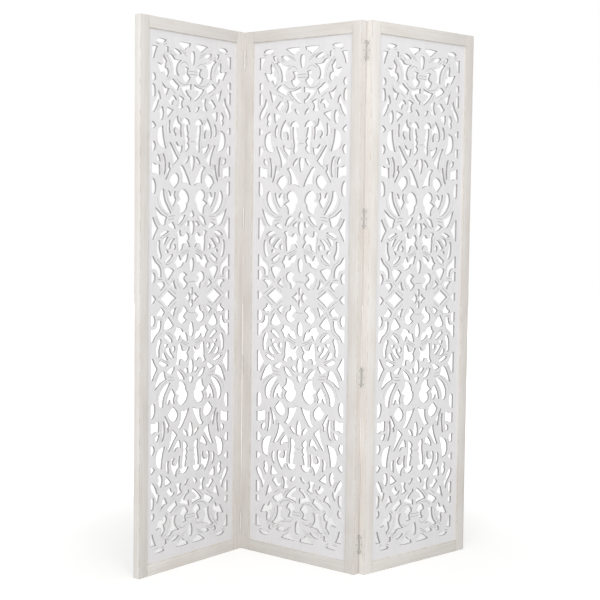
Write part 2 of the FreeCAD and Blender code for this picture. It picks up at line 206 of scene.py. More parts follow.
    [(12, 162.7, 1), (14.6, 162.6, 1), (16.1, 165.8), (14.9, 169.3, 1), (12, 169.4, 1)],
    [(24, 160.5, 1), (27, 159.7), (30.3, 160.2), (33.3, 161.8, 1), (30.5, 165.3), (27.4, 168.4, 1),
     (25.6, 165.5), (24, 162.5)],
    [(16.9, 170, 1), (18.6, 168.9), (20.7, 169.1), (22.7, 168.7), (24.8, 171, 1), (22.9, 173.3),
     (20.3, 174.9, 1), (19.9, 172.6), (18.4, 171.1)],
    [(33.3, 167.5, 1), (31.5, 169.3), (29.8, 171.1, 1), (32.5, 173), (35.7, 174.2, 1), (34.1, 171.2)],
    [(41.6, 163), (43.9, 163.7), (45.7, 165.2, 1), (43.8, 166.2), (43.2, 167.6), (44.4, 169.2),
     (46.5, 170.7, 1), (44.7, 173.2), (41.5, 174.8, 1), (41.4, 172.6), (40.6, 170.7), (38.6, 169.6),
     (37.3, 167.3), (37.8, 164.9), (39.5, 163.4)],
]
# Left halves of the openings on the upright centre line, and upper halves of those on the level one
UPRIGHT_SHARES = [
    [(50, 18.1), (48.4, 18.5), (47.7, 21.2), (48, 24.2), (48.8, 26.6), (50, 27)],
    [(50, 86.2), (48.3, 86.6), (47.7, 90), (48.2, 93.3), (49, 95.8), (50, 96.2)],
    [(50, 122.2), (48.6, 123.5), (47.6, 126, 1), (50, 126.9)],
    [(50, 129.2), (48.3, 129.6), (47.5, 132.6), (47.8, 135.6), (48.7, 138), (50, 138.4)],
    [(50, 153.8), (48.5, 154.2), (47.5, 156.8), (47.8, 160.2), (48.8, 162.9), (50, 163.3)],
    [(50, 173.4), (48.8, 173.9), (48.6, 176), (49, 178.1), (50, 178.5)],
]
LEVEL_SHARES = [
    [(20.3, 180, 1), (23.9, 177.4), (27.6, 174.6, 1), (31.3, 177.3), (35.2, 180, 1)],
    [(12, 180), (12, 177.2, 1), (14.3, 177.3, 1), (16.8, 180, 1)],
    [(42.8, 180, 1), (45.2, 178.6), (46.8, 176.4, 1), (48.5, 178.2), (49.1, 180, 1)],
]
MIDDLE_COLUMN = 50
MIDDLE_ROW = 180
# Squares between the margins, across and down, and the size of one
SQUARES = (76, 336)
SQUARE = ((OPENING_WIDTH - 2 * FRET_MARGIN) / SQUARES[0], (OPENING_HEIGHT - 2 * FRET_MARGIN) / SQUARES[1])

# Lines carved into the face, on the same grid, as far as they can be made out on the strands
LINE_SHARES = [
    # the top leaves and the scroll under them
    [(46, 31.4), (50, 31.2), (54, 31.4)],
    [(46.2, 33.3), (50, 33.1), (53.8, 33.3)],
    [(37.9, 27.8), (39.9, 26.2), (41.9, 25.6), (44.1, 26.4), (45.8, 28.2)],
    [(37.2, 17.9), (38.9, 18.9), (40.5, 20), (42.4, 21.2), (44.3, 21.9)],
    [(39.8, 18.2), (41.4, 19.4), (43.2, 20.2)],
    [(25.2, 22.6), (26.6, 25), (28.1, 27.6), (29.3, 30.6), (29.6, 33.8)],
    # the bands that cross
    [(34.5, 37), (37, 39.2), (40, 40.3), (43, 40.3), (46, 39.4)],
    [(29.2, 43.9), (30.3, 44.6), (32.3, 45.9), (33.9, 47.1)],
    [(37.6, 43), (38.7, 44.9), (40.4, 46.8), (42.6, 48.4)],
    [(35.4, 48.8), (36.1, 50.9), (35.9, 53), (34.8, 55)],
    [(40.4, 67), (40.7, 70.5), (41, 74.2)],
    [(31.2, 79), (33.4, 81.7), (35.7, 84.7), (37.9, 87)],
    [(41.4, 76.5), (41.7, 80), (41.4, 84.2)],
    [(48.3, 77), (50, 76.8), (51.7, 77)],
    # the long leaves
    [(25.2, 110.6), (25.9, 113.8), (27.3, 117.1), (29.4, 120.2), (31.2, 122.6)],
    [(16.9, 114), (17.8, 118.3), (20, 121.2), (23, 123.7), (26.6, 125.6)],
    [(27.4, 126.4), (30.4, 126.1), (33.4, 126)],
    [(27, 128.6), (29.6, 128.2), (32.2, 127.8)],
    [(45.6, 126.6), (43.4, 129), (41, 131.2), (38.2, 132.8)],
    # the fan of leaves
    [(24.3, 146.7), (26.3, 143.9), (28.6, 141.6), (30.6, 140)],
    [(22.4, 140.8), (25.2, 139), (28.6, 137.9)],
    [(35, 139.5), (35.6, 143), (35.8, 147), (35.9, 150.4)],
    [(38.8, 150.7), (41.2, 149.9), (43.8, 148.8), (46, 147.9)],
    [(40.2, 152.2), (42, 151), (44.6, 149.9), (47, 149.1)],
    [(24.8, 157.7), (27.4, 157.6), (30.6, 155.9), (32.7, 153.6)],
    [(16.9, 154), (18.6, 155.6), (21.3, 157.6), (22.7, 160.6), (22.7, 164)],
    # round the diamonds
    [(17.6, 179.2), (20.5, 177.2), (23.4, 175.1), (26, 173.4)],
    [(29.2, 173.6), (31.8, 175.3), (34.4, 177.1)],
    [(24.6, 167.4), (26, 169.4), (28, 171.2)],
    [(35.6, 166.4), (35.9, 169.2), (37.1, 171.8), (38.8, 173.8)],
    [(46.9, 169.7), (50, 169.5), (53.1, 169.7)],
]
# Small carved rings, by their middles
EYE_SHARES = [(28.7, 20.6), (38.6, 63.4)]
EYE_RADIUS = 4.5
EYE_TURN = 330
EYE_POINTS = 12

STEP = 3.0            # spacing of points along an edge or a carved line
CORNER_FAN = 0.5      # the most radians between neighbouring points round a corner
EDGE_RUN = 0.8        # the worn chamfer along every edge
EDGE_DROP = 0.5
CONTOUR_AT = 6.2      # how far in from an edge its own carved line runs
STRAND_PROBE = 3.5    # a contour is only carved where this much farther in
STRAND_NEAR = 8.3     # another edge is as near as this
NEARLY = 0.97         # the share of its own offset that a point has to keep from every edge
LINE_APART = 3.2      # how far a contour keeps from any other carved line
CONTOUR_POINTS = 4    # a contour with no more points than this is left out as a stub
GROOVE_HALF = 0.95
GROOVE_DEPTH = 1.5
LINE_CLEAR = 1.4 * EDGE_RUN    # how near an edge a groove's points may come
CENTRE_STEP = 1.0     # spacing of points along the quarter's centre lines
RIM_STEP = 30.0       # and along the board's own edges
SLACK = 0.02          # places nearer than this count as one
CENTRE_CLEAR = 10 * SLACK      # other points keep this far from the centre lines
TINY = 1e-6
CDT_MERGE = 1e-4


def on_board(column, row):
    """A place on the grid, in millimetres across and up from the board's middle."""
    return np.array(((column - MIDDLE_COLUMN) * SQUARE[0], (MIDDLE_ROW - row) * SQUARE[1]))


def smooth_curve(points, closed=True):
    """Points along the smooth curve through some corners and bends, and which of them are corners."""
    spots = [on_board(*p[:2]) for p in points]
    sharp = [len(p) > 2 for p in points]
    count = len(spots)
    if closed:
        area = sum(a[0] * b[1] - b[0] * a[1] for a, b in zip(spots, spots[1:] + spots[:1]))
        if area < 0:
            spots, sharp = spots[::-1], sharp[::-1]
    else:
        sharp[0] = sharp[-1] = True
    slopes = []
    for i in range(count):
        before, here, after = spots[i - 1], spots[i], spots[(i + 1) % count]
        slopes.append((after - before) / (np.linalg.norm(here - before) + np.linalg.norm(after - here)))
    curve, corner = [], []
    for i in range(count if closed else count - 1):
        j = (i + 1) % count
        run = spots[j] - spots[i]
        length = np.linalg.norm(run)
        start = None if sharp[i] else slopes[i] * length
        end = None if sharp[j] else slopes[j] * length
        if start is None and end is None:
            start = end = run
        elif start is None:
            start = 1.5 * run - 0.5 * end
        elif end is None:
            end = 1.5 * run - 0.5 * start
        steps = max(2, math.ceil(length / STEP))
        for k in range(steps):
            s = k / steps
            curve.append((2 * s**3 - 3 * s**2 + 1) * spots[i] + (s**3 - 2 * s**2 + s) * start
                         + (3 * s**2 - 2 * s**3) * spots[j] + (s**3 - s**2) * end)
            corner.append(k == 0 and sharp[i])
    if not closed:
        curve.append(spots[-1])
        corner.append(True)
    return np.array(curve), corner


def whole_openings():
    """The openings of the upper left quarter, whole, those on the centre lines too."""
    whole = list(SIDE_SHARES)
    for half in UPRIGHT_SHARES:
        whole.append(half + [(2 * MIDDLE_COLUMN - p[0], *p[1:]) for p in half[-2:0:-1]])
    for half in LEVEL_SHARES:
        whole.append(half + [(p[0], 2 * MIDDLE_ROW - p[1], *p[2:]) for p in half[-2:0:-1]])
    return [smooth_curve(points) for points in whole]


def offset_chain(curve, corner, distance):
    """The outline moved out into the wood, with an arc of points round each corner."""
    chain = []
    count = len(curve)
    for i in range(count):
        back = curve[i] - curve[i - 1]
        ahead = curve[(i + 1) % count] - curve[i]
        out_back = np.array((back[1], -back[0])) / np.linalg.norm(back)
        out_ahead = np.array((ahead[1], -ahead[0])) / np.linalg.norm(ahead)
        if corner[i]:
            turn = math.atan2(back[0] * ahead[1] - back[1] * ahead[0], back @ ahead)
            steps = max(1, math.ceil(turn / CORNER_FAN)) if turn > 0 else 1
            first = math.atan2(out_back[1], out_back[0])
            for k in range(steps + 1):
                angle = first + turn * k / steps
                chain.append(curve[i] + distance * np.array((math.cos(angle), math.sin(angle))))
        else:
            out = out_back + out_ahead
            chain.append(curve[i] + distance * out / np.linalg.norm(out))
    return chain


def groove_outline(line):
    """The closed outline of a groove that is cut along a line, pointed at both ends."""
    along = np.gradient(line, axis=0)
    along /= np.linalg.norm(along, axis=1)[:, None]
    out = along[:, ::-1] * (GROOVE_HALF, -GROOVE_HALF)
    first_tip = line[0] - along[0] * GROOVE_HALF
    last_tip = line[-1] + along[-1] * GROOVE_HALF
    return [first_tip, *(line + out), last_tip, *(line - out)[::-1]], [first_tip, *line, last_tip]


class Nearness:
    """How far a point of the board is from the nearest of some curves."""

    def __init__(self, curves, closed=True):
        verts, faces = [], []
        for curve in curves:
            first = len(verts)
            count = len(curve)
            for x, z in curve:
                verts += [(x, z, -1), (x, z, 1)]
            for i in range(count if closed else count - 1):
                a, b = first + 2 * i, first + 2 * ((i + 1) % count)
                faces.append((a, b, b + 1, a + 1))
        self.tree = BVHTree.FromPolygons(verts, faces)

    def __call__(self, point):
        return self.tree.find_nearest((point[0], point[1], 0))[3]


def with_mirrored(curves):
    """Curves of the quarter, and the same across and below its centre lines."""
    return curves + [curve * (-1, 1) for curve in curves] + [curve * (1, -1) for curve in curves]


def contour_lines(outlines, to_edge, lines):
    """Lines carved along the strands, parallel to the openings' edges and clear of all other lines."""
    runs = []
    for curve, corner in outlines:
        to_line = Nearness(with_mirrored(lines + runs), closed=False)
        ring = offset_chain(curve, corner, CONTOUR_AT)
        probes = offset_chain(curve, corner, CONTOUR_AT + STRAND_PROBE)
        held = [to_edge(point) > NEARLY * CONTOUR_AT and to_edge(probe) < STRAND_NEAR
                and to_line(point) > LINE_APART for point, probe in zip(ring, probes)]
        if False not in held:
            continue
        first = held.index(False)
        run = []
        for point, wanted in zip(ring[first:] + ring[:first + 1], held[first:] + held[:first + 1]):
            if wanted and (not run or np.linalg.norm(point - run[-1]) > STEP):
                run.append(point)
            elif not wanted:
                if len(run) > CONTOUR_POINTS:
                    runs.append(np.array(run))
                run = []
    return runs


def eye_lines():
    """The small carved rings, each as a line that all but meets its own start."""
    turns = np.radians(np.linspace(0, EYE_TURN, EYE_POINTS))
    ring = EYE_RADIUS * np.stack([np.cos(turns), np.sin(turns)], axis=1)
    return [ring + on_board(*eye) for eye in EYE_SHARES]


def in_opening(point, outlines):
    """Whether a point lies inside one of the openings."""
    for curve, corner in outlines:
        after = np.roll(curve, -1, axis=0)
        spans = (curve[:, 1] > point[1]) != (after[:, 1] > point[1])
        a, b = curve[spans], after[spans]
        crossed = a[:, 0] + (point[1] - a[:, 1]) / (b[:, 1] - a[:, 1]) * (b[:, 0] - a[:, 0])
        if np.count_nonzero(crossed > point[0]) % 2:
            return True
    return False


def fret_quarter():
    """The carved face of one quarter of the board.

    Gives the points as (across, up), the triangles of wood, and for each point how far it is from
    the nearest edge and from the middle of the nearest carved line.
    """
    outlines = whole_openings()
    to_edge = Nearness(with_mirrored([curve for curve, corner in outlines]))
    lines = [smooth_curve(points, closed=False)[0] for points in LINE_SHARES] + eye_lines()
    lines += contour_lines(outlines, to_edge, lines)
    to_line = Nearness(with_mirrored(lines), closed=False)
    half_board = OPENING_WIDTH / 2 + TONGUE
    high_board = OPENING_HEIGHT / 2 + TONGUE
    spots, edges, holes = [], [], []

    def chain(points, wanted, closed=True):
        """Adds a run of points and the edges between neighbours that are both wanted."""
        kept = []
        for point in points:
            if wanted(point):
                kept.append(len(spots))
                spots.append(Vector(point))
            else:
                kept.append(None)
        pairs = list(zip(kept, kept[1:])) + ([(kept[-1], kept[0])] if closed else [])
        edges.extend((a, b) for a, b in pairs if a is not None and b is not None)
        return [k for k in kept if k is not None]

    def in_quarter(p):
        return p[0] < TINY and p[1] > -TINY

    def inside(p):
        return p[0] < -CENTRE_CLEAR and p[1] > CENTRE_CLEAR

    def on_wood(p):
        return inside(p) and to_edge(p) > LINE_CLEAR and not in_opening(p, outlines)

    def off_edges(p):
        return inside(p) and to_edge(p) > NEARLY * EDGE_RUN

    for curve, corner in outlines:
        holes.append(chain(curve, in_quarter))
        chain(offset_chain(curve, corner, EDGE_RUN), off_edges)
    for line in lines:
        sides, middle = groove_outline(line)
        chain(sides, on_wood)
        chain(middle, on_wood, closed=False)

    def side(start, end, step):
        steps = round(max(abs(end[0] - start[0]), abs(end[1] - start[1])) / step)
        return [(start[0] + (end[0] - start[0]) * k / steps, start[1] + (end[1] - start[1]) * k / steps)
                for k in range(steps + 1)]

    far = (-half_board, high_board)
    for start, end, step in (((0, 0), (-half_board, 0), CENTRE_STEP), ((0, 0), (0, high_board), CENTRE_STEP),
                             ((-half_board, 0), far, RIM_STEP), ((0, high_board), far, RIM_STEP)):
        chain(side(start, end, step), lambda p: True, closed=False)
    points, _, faces, _, _, inside_hole = delaunay_2d_cdt(spots, edges, holes, 0, CDT_MERGE)
    wood = [tuple(face) for face, held in zip(faces, inside_hole) if not held]
    rim = [to_edge(p) for p in points]
    cut = [to_line(p) if d > EDGE_RUN else GROOVE_HALF + EDGE_RUN - d for p, d in zip(points, rim)]
    return points, wood, rim, cut


def relief(rim, cut):
    """How far the carved face lies below the board's face."""
    worn = EDGE_DROP * max(0.0, 1 - rim / EDGE_RUN) ** 2
    return worn + GROOVE_DEPTH * max(0.0, 1 - cut / GROOVE_HALF)


def note(mesh, title, values):
    """Writes a number or a vector for each point of a mesh, for the finishes to read."""
    values = np.asarray(values, dtype=np.float32)
    vector = values.ndim == 2
    layer = mesh.attributes.new(title, "FLOAT_VECTOR" if vector else "FLOAT", "POINT")
    layer.data.foreach_set("vector" if vector else "value", values.ravel())


def spots_of(mesh):
    """A mesh's points as rows of numbers."""
    spots = np.empty(len(mesh.vertices) * 3, dtype=np.float32)
    mesh.vertices.foreach_get("co", spots)
    return spots.reshape(-1, 3)


def plain_mesh(name, verts, faces):
    mesh = bpy.data.meshes.new(name)
    mesh.from_pydata([tuple(v) for v in verts], [], faces)
    mesh.update()
    return mesh


@contextmanager
def reworked(mesh):
    """A mesh opened for changes, which it takes up at the end."""
    work = bmesh.new()
    work.from_mesh(mesh)
    yield work
    work.to_mesh(mesh)
    work.free()


def fret_mesh():
    """The whole pierced and carved board in a panel's own millimetres."""
    points, wood, rim, cut = fret_quarter()
    half_thick = FRET_THICKNESS / 2
    face = np.array([(p.x, relief(r, c) - half_thick, p.y) for p, r, c in zip(points, rim, cut)])
    count = len(face)
    owners = {}
    for tri in wood:
        for a, b in zip(tri, tri[1:] + tri[:1]):
            owners.setdefault((min(a, b), max(a, b)), []).append((a, b))

    def on_centre_line(a, b):
        return any(abs(face[a][axis]) < SLACK and abs(face[b][axis]) < SLACK for axis in (0, 2))

    walls = [pair[0] for pair in owners.values() if len(pair) == 1 and not on_centre_line(*pair[0])]
    # front face with its outward side towards -Y, back face, and the walls between the two
    verts = np.concatenate([face, face * (1, -1, 1)])
    faces = wood + [tuple(count + i for i in tri[::-1]) for tri in wood]
    faces += [(b, a, a + count, b + count) for a, b in walls]
    flips = ((1, 1), (-1, 1), (1, -1), (-1, -1))
    copies = 2 * len(flips)
    all_verts, all_faces = [], []
    for flip_x, flip_z in flips:
        first = len(all_verts) * len(verts)
        all_verts.append(verts * (flip_x, 1, flip_z))
        for polygon in faces:
            order = polygon if flip_x * flip_z > 0 else polygon[::-1]
            all_faces.append(tuple(first + i for i in order))
    mesh = plain_mesh("fret", np.concatenate(all_verts), all_faces)
    note(mesh, "rim", rim * copies)
    note(mesh, "level", [v.co.y for v in mesh.vertices])
    note(mesh, "cut", cut * copies)
    with reworked(mesh) as work:
        bmesh.ops.remove_doubles(work, verts=work.verts, dist=SLACK / 2)
        bmesh.ops.delete(work, geom=[v for v in work.verts if not v.link_faces], context="VERTS")
        bmesh.ops.recalc_face_normals(work, faces=work.faces)
    mesh.transform(Matrix.Translation((0, 0, HALF_HEIGHT)))
    return mesh


# Finishes

def linear(*rgb):
    """A colour as seen on a screen, 0 to 255, in Blender's linear values."""
    return tuple(c / 255 / 12.92 if c < 10.3 else ((c / 255 + 0.055) / 1.055) ** 2.4 for c in rgb) + (1.0,)


class Nodes:
    """A short way to add and join the nodes of one tree."""

    def __init__(self, tree):
        self.tree = tree

    def set(self, node, key, value):
        socket = node.inputs[key]
        if isinstance(value, bpy.types.NodeSocket):
            self.tree.links.new(value, socket)
        else:
            socket.default_value = value

    def add(self, kind, inputs=(), **settings):
        node = self.tree.nodes.new(kind)
        for key, value in settings.items():
            setattr(node, key, value)
        for key, value in dict(inputs).items():
            self.set(node, key, value)
        return node

    def maths(self, operation, a, b=0.0):
        return self.add("ShaderNodeMath", {0: a, 1: b}, operation=operation).outputs[0]

    def vectors(self, operation, a, b=(0, 0, 0)):
        return self.add("ShaderNodeVectorMath", {0: a, 1: b}, operation=operation).outputs[0]

    def band(self, value, low, high, to_low=0.0, to_high=1.0):
        inputs = {"Value": value, "From Min": low, "From Max": high, "To Min": to_low, "To Max": to_high}
        return self.add("ShaderNodeMapRange", inputs, interpolation_type="SMOOTHSTEP").outputs["Result"]

    def mix(self, factor, a, b, blend="MIX"):
        node = self.add("ShaderNodeMix", {0: factor, 6: a, 7: b}, data_type="RGBA", blend_type=blend)
        return node.outputs[2]

    def noise(self, vector, detail=4.0, rough=0.55, distortion=0.0):
        inputs = {"Vector": vector, "Scale": 1.0, "Detail": detail, "Roughness": rough,
                  "Distortion": distortion}
        return self.add("ShaderNodeTexNoise", inputs).outputs["Fac"]

    def scaled(self, vector, x, y, z):
        return self.add("ShaderNodeMapping", {"Vector": vector, "Scale": (x, y, z)}).outputs["Vector"]

    def bump(self, height, strength, distance):
        inputs = {"Height": height, "Strength": strength, "Distance": distance}
        return self.add("ShaderNodeBump", inputs).outputs["Normal"]

    def attribute(self, name):
        return self.add("ShaderNodeAttribute", attribute_name=name).outputs

    def toned(self, colour):
        """The colour made lighter or darker by the piece's painted light and shade."""
        painted_light_tone = self.attribute("painted_light_tone")["Fac"]
        grey = self.add("ShaderNodeCombineColor", {0: painted_light_tone, 1: painted_light_tone, 2: painted_light_tone}).outputs[0]
        return self.mix(1.0, colour, grey, "MULTIPLY")


def new_material(name):
    """A material, its nodes and its shader."""
    material = bpy.data.materials.new(name)
    material.use_nodes = True
    return material, Nodes(material.node_tree), material.node_tree.nodes["Principled BSDF"]


def group(name, inputs, outputs, kind="ShaderNodeTree"):
    """A node group with its named inputs and outputs, ready to be filled."""
    tree = bpy.data.node_groups.new(name, kind)
    for title, socket_kind, value in inputs:
        socket = tree.interface.new_socket(title, in_out="INPUT", socket_type=socket_kind)
        if value is not None:
            socket.default_value = value
    for title, socket_kind in outputs:
        tree.interface.new_socket(title, in_out="OUTPUT", socket_type=socket_kind)
    start = tree.nodes.new("NodeGroupInput")
    end = tree.nodes.new("NodeGroupOutput")
    return tree, Nodes(tree), start.outputs, end


FLOAT, VECTOR = "NodeSocketFloat", "NodeSocketVector"


def washed_grain():
    """Brushed grain under a thin wash: streaks along Z, slow clouds, dark pores and a height."""
    tree, n, take, end = group(
        "Washed grain",
        [("Place", VECTOR, None), ("Streak width", FLOAT, 3.0), ("Streak length", FLOAT, 180.0)],
        [("Streaks", FLOAT), ("Clouds", FLOAT), ("Pores", FLOAT), ("Height", FLOAT)])
    across = n.maths("DIVIDE", 1.0, take["Streak width"])
    along = n.maths("DIVIDE", 1.0, take["Streak length"])
    scale = n.add("ShaderNodeCombineXYZ", {0: across, 1: across, 2: along}).outputs[0]
    stretched = n.vectors("MULTIPLY", take["Place"], scale)
    streaks = n.noise(stretched, 5.0, 0.6, 0.25)
    fine = n.noise(n.scaled(stretched, 3.1, 3.1, 1.7), 4.0, 0.7)
    pores = n.noise(n.scaled(stretched, 5.3, 5.3, 4.0), 3.0, 0.6)
    clouds = n.noise(n.scaled(take["Place"], 0.011, 0.011, 0.005), 3.0, 0.5)
    both = n.maths("ADD", n.maths("MULTIPLY", streaks, 0.6), n.maths("MULTIPLY", fine, 0.4))
    sunk = n.maths("MULTIPLY", n.band(pores, 0.6, 0.74), 0.35)
    results = {"Streaks": both, "Clouds": clouds, "Pores": n.band(pores, 0.62, 0.74),
               "Height": n.maths("SUBTRACT", both, sunk)}
    for title, value in results.items():
        n.set(end, title, value)
    return tree


def arris_distance():
    """How far a point of a square member is from its nearest arris, and how deep it lies in the wood."""
    tree, n, take, end = group("Arris distance", [("Spot", VECTOR, None), ("Half", VECTOR, None)],
                               [("Distance", FLOAT), ("Depth", FLOAT)])
    left = n.vectors("SUBTRACT", take["Half"], n.vectors("ABSOLUTE", take["Spot"]))
    x, y, z = n.add("ShaderNodeSeparateXYZ", {0: left}).outputs
    middle = n.maths("MAXIMUM", n.maths("MINIMUM", x, y), n.maths("MINIMUM", n.maths("MAXIMUM", x, y), z))
    n.set(end, "Distance", middle)
    n.set(end, "Depth", n.maths("MINIMUM", n.maths("MINIMUM", x, y), z))
    return tree


def edge_wear():
    """Where a wash is rubbed through: close to an edge, in patches."""
    tree, n, take, end = group(
        "Edge wear", [("Place", VECTOR, None), ("Distance", FLOAT, 5.0), ("Reach", FLOAT, 2.0)],
        [("Worn", FLOAT)])
    near = n.band(take["Distance"], take["Reach"], 0.0)
    patches = n.noise(n.scaled(take["Place"], 0.07, 0.07, 0.03), 5.0, 0.7)
    n.set(end, "Worn", n.maths("MULTIPLY", near, n.band(patches, 0.42, 0.62)))
    return tree


GRAIN = washed_grain()
ARRIS = arris_distance()
WEAR = edge_wear()


def washed_wood(name, pale, warm, dark, worn, streak, contrast):
    """The start of a whitewashed finish. Gives its material, nodes, shader, grain and colour."""
    material, n, shader = new_material(name)
    place = n.attribute("place")["Vector"]
    grain = n.add("ShaderNodeGroup", node_tree=GRAIN)
    n.set(grain, "Place", place)
    grain.inputs["Streak width"].default_value, grain.inputs["Streak length"].default_value = streak
    streaks = n.band(grain.outputs["Streaks"], 0.4, 0.66)
    clouds = n.band(grain.outputs["Clouds"], 0.36, 0.68)
    mottle = n.maths("ADD", n.maths("MULTIPLY", streaks, 0.6), n.maths("MULTIPLY", clouds, 0.4))
    colour = n.mix(n.maths("MULTIPLY", mottle, contrast), pale, warm)
    colour = n.mix(n.maths("MULTIPLY", grain.outputs["Pores"], 0.3 * contrast), colour, dark)
    n.set(shader, "Roughness", n.band(grain.outputs["Streaks"], 0.3, 0.7, 0.62, 0.78))
    shader.inputs["Specular IOR Level"].default_value = 0.3
    n.set(shader, "Normal", n.bump(grain.outputs["Height"], 0.22, 0.0006))
    wear = n.add("ShaderNodeGroup", node_tree=WEAR)
    n.set(wear, "Place", place)

    def finish(distance, reach, strength, colour):
        n.set(wear, "Distance", distance)
        wear.inputs["Reach"].default_value = reach
        n.set(shader, "Base Color", n.mix(n.maths("MULTIPLY", wear.outputs["Worn"], strength), colour, worn))
        return material

    return n, colour, finish


def frame_finish():
    n, colour, finish = washed_wood("washed frame wood", linear(233, 229, 225), linear(212, 205, 197),
                                    linear(172, 160, 146), linear(188, 175, 158), (2.8, 230.0), 0.8)
    place = n.attribute("place")["Vector"]
    knots = n.add("ShaderNodeTexVoronoi", {"Vector": n.scaled(place, 0.016, 0.016, 0.006), "Scale": 1.0})
    pick = n.add("ShaderNodeSeparateColor", {0: knots.outputs["Color"]}).outputs[0]
    knot = n.maths("MULTIPLY", n.band(knots.outputs["Distance"], 0.11, 0.03), n.band(pick, 0.8, 0.85))
    colour = n.mix(n.maths("MULTIPLY", knot, 0.6), colour, linear(150, 130, 108))
    colour = n.toned(colour)
    spot, half = n.attribute("spot")["Vector"], n.attribute("half")["Vector"]
    arris = n.add("ShaderNodeGroup", {"Spot": spot, "Half": half}, node_tree=ARRIS)
    # painted shade in the hinge seats and grooves: darker the deeper a point lies under the member's faces
    colour = n.mix(n.band(arris.outputs["Depth"], 0.6, 1.6, 0.0, 0.8), colour, linear(112, 104, 95))
    # painted shade along the arris that the hinges turn on, where the next panel all but touches
    turned = n.vectors("MULTIPLY", spot, n.attribute("hinged")["Vector"])
    away = n.vectors("SUBTRACT", half, turned)
    across, deep, along = n.add("ShaderNodeSeparateXYZ", {0: away}).outputs
    painted_gap_shade = n.maths("MULTIPLY", n.band(across, 0.9, 0.5), n.band(deep, 3.5, 0.4))
    colour = n.mix(n.maths("MULTIPLY", painted_gap_shade, 0.6), colour, linear(150, 145, 138))
    return finish(arris.outputs["Distance"], 2.4, 0.7, colour)


def fret_finish():
    n, colour, finish = washed_wood("washed fret wood", linear(239, 238, 239), linear(228, 227, 228),
                                    linear(202, 199, 198), linear(214, 210, 206), (3.6, 120.0), 0.7)
    cut = n.attribute("cut")["Fac"]
    rim = n.attribute("rim")["Fac"]
    # the carved grooves are darkened: painted shade in them, with some dirt
    colour = n.mix(n.band(cut, GROOVE_HALF, 0.15, 0.0, 0.85), colour, linear(150, 147, 146))
    # painted shade on the sawn walls of the openings, darkest halfway through the board
    level = n.maths("ABSOLUTE", n.attribute("level")["Fac"])
    colour = n.mix(n.band(level, 3.4, 1.6, 0.0, 0.9), colour, linear(170, 168, 170))
    return finish(rim, 1.0, 0.3, n.toned(colour))


FRAME_WOOD = frame_finish()
FRET_WOOD = fret_finish()


METAL_ROUGHNESS = 0.45


def hinge_finish(name, dull, bright):
    """Brushed metal, in metres on Object coordinates, with painted shade on what faces into the hinge seat.
    """
    material, n, shader = new_material(name)
    brushed = n.noise(n.scaled(n.add("ShaderNodeTexCoord").outputs["Object"], 900, 900, 120), 4.0, 0.6)
    # painted shade where the knuckles face into the hinge seat
    painted_seat_shade = n.band(n.attribute("painted_seat_shade")["Fac"], 0.1, 0.6, 0.0, 0.6)
    colour = n.mix(n.band(brushed, 0.35, 0.65), dull, bright)
    n.set(shader, "Base Color", n.mix(painted_seat_shade, colour, linear(104, 100, 95)))
    n.set(shader, "Roughness", n.band(brushed, 0.3, 0.7, METAL_ROUGHNESS, METAL_ROUGHNESS + 0.15))
    shader.inputs["Metallic"].default_value = 0.15
    n.set(shader, "Normal", n.bump(brushed, 0.15, 0.0002))
    return material


HINGE_METAL = hinge_finish("brushed hinge steel", linear(222, 219, 214), linear(236, 233, 229))
SCREW_METAL = hinge_finish("dulled screw steel", linear(176, 172, 166), linear(198, 194, 188))


# Pieces

def put(name, data):
    """A new object, in the scene."""
    piece = bpy.data.objects.new(name, data)
    bpy.context.scene.collection.objects.link(piece)
    return piece


def stand(mesh, name, panel, material, slot, *nodes):
    """Sets a mesh in a panel's own millimetres into the frame as a piece that rides on the panel."""
    mesh.transform(PLACES[panel])
    mesh.materials.clear()
    mesh.materials.append(material)
    piece = put(name, mesh)
    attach(piece, panel + "_panel")
    if nodes:
        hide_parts(*nodes)


def shade_by_angle(mesh, degrees):
    """Smooth shading but for edges sharper than this."""
    limit = math.radians(degrees)
    with reworked(mesh) as work:
        for face in work.faces:
            face.smooth = True
        for edge in work.edges:
            edge.smooth = len(edge.link_faces) == 2 and edge.calc_face_angle(0.0) < limit


# Edges that turn more than this stay sharp to the eye, in degrees
FRET_SHARP = 30
FRAME_SHARP = 40
METAL_SHARP = 35

ARRIS_ROUND = 0.5
ARRIS_PROFILE = 0.6
ARRIS_TURN = 0.5      # edges that turn more than this are arrises, in radians
FLAT_TURN = 1         # faces that turn less than this are one face, in degrees
SOFT_SEGMENTS = 2
GRAIN_SHIFT = 900     # how far a piece's place in the grain may be from its own, either way
HALF_FRAME = FRAME_WIDTH / 2
STILE_HALF = (HALF_FRAME, HALF_THICKNESS, HALF_HEIGHT)
RAIL_HALF = (OPENING_WIDTH / 2, HALF_THICKNESS, HALF_FRAME)
# The middle of each member, and half its size
MEMBERS = {
    "left_stile": ((-HALF_WIDTH + HALF_FRAME, 0, HALF_HEIGHT), STILE_HALF),
    "right_stile": ((HALF_WIDTH - HALF_FRAME, 0, HALF_HEIGHT), STILE_HALF),
    "bottom_rail": ((0, 0, HALF_FRAME), RAIL_HALF),
    "top_rail": ((0, 0, PANEL_HEIGHT - HALF_FRAME), RAIL_HALF),
}
# How light each piece of wood is painted beside the others: painted light and shade, for how the lamps fall
# on each piece and how the panels shade one another
PAINTED_LIGHT_TONES = {
    ("left", "left_stile"): 0.93, ("left", "right_stile"): 0.955, ("centre", "left_stile"): 0.935,
    ("centre", "right_stile"): 1.0, ("right", "left_stile"): 1.1, ("left", "top_rail"): 0.925,
    ("centre", "top_rail"): 0.965, ("centre", "bottom_rail"): 0.93,
    ("left", "fret"): 0.955, ("centre", "fret"): 0.98,
}
